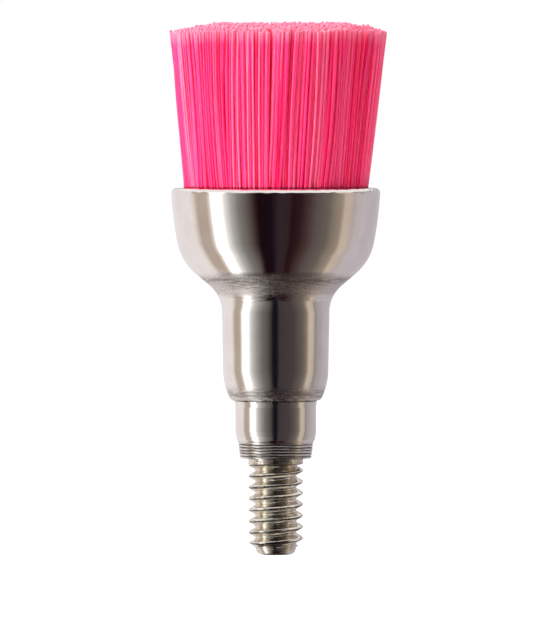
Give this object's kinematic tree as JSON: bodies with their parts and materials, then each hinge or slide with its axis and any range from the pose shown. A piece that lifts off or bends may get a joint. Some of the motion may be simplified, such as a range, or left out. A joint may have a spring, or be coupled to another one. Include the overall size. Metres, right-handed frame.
{
  "type": "screw-type prophy brush",
  "caption": "Screw-in cup brush for a dental prophy angle: threaded stud, drawn nickel-plated ferrule and a flat bundle of pink nylon bristles that splay.",
  "frame": {"origin": "on the axis, in the plane of the shoulder that seats on the handpiece", "axes": "+Z along the axis, from the thread to the bristle tips; X and Y are across it, with outer tuft 1 on +X"},
  "size_m": [0.0068, 0.0068, 0.0165],
  "materials": {
    "ferrule_nickel": "bright nickel plate over drawn brass, polished, faintly mottled at its bends",
    "stud_nickel": "bright nickel plate over turned brass, with fine turning marks",
    "anchor_wire": "drawn wire",
    "bristle_nylon": "drawn nylon filament, slightly translucent, satin, with pale cut ends"
  },
  "bodies": {
    "hardware": {"screw_stud": "stud_nickel", "ferrule": "ferrule_nickel", "anchor_ring": "anchor_wire", "bristle_root": "bristle_nylon", "core_tuft": "bristle_nylon"},
    "outer_bend_01": {"outer_tuft_01": "bristle_nylon"},
    "outer_bend_02": {"outer_tuft_02": "bristle_nylon"},
    "outer_bend_03": {"outer_tuft_03": "bristle_nylon"},
    "outer_bend_04": {"outer_tuft_04": "bristle_nylon"},
    "outer_bend_05": {"outer_tuft_05": "bristle_nylon"},
    "outer_bend_06": {"outer_tuft_06": "bristle_nylon"},
    "outer_bend_07": {"outer_tuft_07": "bristle_nylon"},
    "outer_bend_08": {"outer_tuft_08": "bristle_nylon"},
    "outer_bend_09": {"outer_tuft_09": "bristle_nylon"},
    "outer_bend_10": {"outer_tuft_10": "bristle_nylon"},
    "outer_bend_11": {"outer_tuft_11": "bristle_nylon"},
    "outer_bend_12": {"outer_tuft_12": "bristle_nylon"},
    "inner_bend_01": {"inner_tuft_01": "bristle_nylon"},
    "inner_bend_02": {"inner_tuft_02": "bristle_nylon"},
    "inner_bend_03": {"inner_tuft_03": "bristle_nylon"},
    "inner_bend_04": {"inner_tuft_04": "bristle_nylon"},
    "inner_bend_05": {"inner_tuft_05": "bristle_nylon"},
    "inner_bend_06": {"inner_tuft_06": "bristle_nylon"}
  },
  "joints": [
    {"name": "outer_splay_01", "type": "hinge", "parent": "hardware", "child": "outer_bend_01", "pos_m": [0.00288, 0, 0.0084], "axis": [0, 1, 0], "range_deg": [0, 18], "stiffness_Nm_per_rad": 0.0007},
    {"name": "outer_splay_02", "type": "hinge", "parent": "hardware", "child": "outer_bend_02", "pos_m": [0.00249, 0.00144, 0.0084], "axis": [-0.5, 0.866, 0], "range_deg": [0, 18], "stiffness_Nm_per_rad": 0.0007},
    {"name": "outer_splay_03", "type": "hinge", "parent": "hardware", "child": "outer_bend_03", "pos_m": [0.00144, 0.00249, 0.0084], "axis": [-0.866, 0.5, 0], "range_deg": [0, 18], "stiffness_Nm_per_rad": 0.0007},
    {"name": "outer_splay_04", "type": "hinge", "parent": "hardware", "child": "outer_bend_04", "pos_m": [0, 0.00288, 0.0084], "axis": [-1, 0, 0], "range_deg": [0, 18], "stiffness_Nm_per_rad": 0.0007},
    {"name": "outer_splay_05", "type": "hinge", "parent": "hardware", "child": "outer_bend_05", "pos_m": [-0.00144, 0.00249, 0.0084], "axis": [-0.866, -0.5, 0], "range_deg": [0, 18], "stiffness_Nm_per_rad": 0.0007},
    {"name": "outer_splay_06", "type": "hinge", "parent": "hardware", "child": "outer_bend_06", "pos_m": [-0.00249, 0.00144, 0.0084], "axis": [-0.5, -0.866, 0], "range_deg": [0, 18], "stiffness_Nm_per_rad": 0.0007},
    {"name": "outer_splay_07", "type": "hinge", "parent": "hardware", "child": "outer_bend_07", "pos_m": [-0.00288, 0, 0.0084], "axis": [0, -1, 0], "range_deg": [0, 18], "stiffness_Nm_per_rad": 0.0007},
    {"name": "outer_splay_08", "type": "hinge", "parent": "hardware", "child": "outer_bend_08", "pos_m": [-0.00249, -0.00144, 0.0084], "axis": [0.5, -0.866, 0], "range_deg": [0, 18], "stiffness_Nm_per_rad": 0.0007},
    {"name": "outer_splay_09", "type": "hinge", "parent": "hardware", "child": "outer_bend_09", "pos_m": [-0.00144, -0.00249, 0.0084], "axis": [0.866, -0.5, 0], "range_deg": [0, 18], "stiffness_Nm_per_rad": 0.0007},
    {"name": "outer_splay_10", "type": "hinge", "parent": "hardware", "child": "outer_bend_10", "pos_m": [0, -0.00288, 0.0084], "axis": [1, 0, 0], "range_deg": [0, 18], "stiffness_Nm_per_rad": 0.0007},
    {"name": "outer_splay_11", "type": "hinge", "parent": "hardware", "child": "outer_bend_11", "pos_m": [0.00144, -0.00249, 0.0084], "axis": [0.866, 0.5, 0], "range_deg": [0, 18], "stiffness_Nm_per_rad": 0.0007},
    {"name": "outer_splay_12", "type": "hinge", "parent": "hardware", "child": "outer_bend_12", "pos_m": [0.00249, -0.00144, 0.0084], "axis": [0.5, 0.866, 0], "range_deg": [0, 18], "stiffness_Nm_per_rad": 0.0007},
    {"name": "inner_splay_01", "type": "hinge", "parent": "hardware", "child": "inner_bend_01", "pos_m": [0.00187, 0, 0.0084], "axis": [0, 1, 0], "range_deg": [0, 9], "stiffness_Nm_per_rad": 0.0008},
    {"name": "inner_splay_02", "type": "hinge", "parent": "hardware", "child": "inner_bend_02", "pos_m": [0.00094, 0.00162, 0.0084], "axis": [-0.866, 0.5, 0], "range_deg": [0, 9], "stiffness_Nm_per_rad": 0.0008},
    {"name": "inner_splay_03", "type": "hinge", "parent": "hardware", "child": "inner_bend_03", "pos_m": [-0.00094, 0.00162, 0.0084], "axis": [-0.866, -0.5, 0], "range_deg": [0, 9], "stiffness_Nm_per_rad": 0.0008},
    {"name": "inner_splay_04", "type": "hinge", "parent": "hardware", "child": "inner_bend_04", "pos_m": [-0.00187, 0, 0.0084], "axis": [0, -1, 0], "range_deg": [0, 9], "stiffness_Nm_per_rad": 0.0008},
    {"name": "inner_splay_05", "type": "hinge", "parent": "hardware", "child": "inner_bend_05", "pos_m": [-0.00094, -0.00162, 0.0084], "axis": [0.866, -0.5, 0], "range_deg": [0, 9], "stiffness_Nm_per_rad": 0.0008},
    {"name": "inner_splay_06", "type": "hinge", "parent": "hardware", "child": "inner_bend_06", "pos_m": [0.00094, -0.00162, 0.0084], "axis": [0.866, 0.5, 0], "range_deg": [0, 9], "stiffness_Nm_per_rad": 0.0008}
  ],
  "couplings": [
    {"joint": "outer_splay_02", "follows": "outer_splay_01", "ratio": 1},
    {"joint": "outer_splay_03", "follows": "outer_splay_01", "ratio": 1},
    {"joint": "outer_splay_04", "follows": "outer_splay_01", "ratio": 1},
    {"joint": "outer_splay_05", "follows": "outer_splay_01", "ratio": 1},
    {"joint": "outer_splay_06", "follows": "outer_splay_01", "ratio": 1},
    {"joint": "outer_splay_07", "follows": "outer_splay_01", "ratio": 1},
    {"joint": "outer_splay_08", "follows": "outer_splay_01", "ratio": 1},
    {"joint": "outer_splay_09", "follows": "outer_splay_01", "ratio": 1},
    {"joint": "outer_splay_10", "follows": "outer_splay_01", "ratio": 1},
    {"joint": "outer_splay_11", "follows": "outer_splay_01", "ratio": 1},
    {"joint": "outer_splay_12", "follows": "outer_splay_01", "ratio": 1},
    {"joint": "inner_splay_01", "follows": "outer_splay_01", "ratio": 0.5},
    {"joint": "inner_splay_02", "follows": "outer_splay_01", "ratio": 0.5},
    {"joint": "inner_splay_03", "follows": "outer_splay_01", "ratio": 0.5},
    {"joint": "inner_splay_04", "follows": "outer_splay_01", "ratio": 0.5},
    {"joint": "inner_splay_05", "follows": "outer_splay_01", "ratio": 0.5},
    {"joint": "inner_splay_06", "follows": "outer_splay_01", "ratio": 0.5}
  ]
}
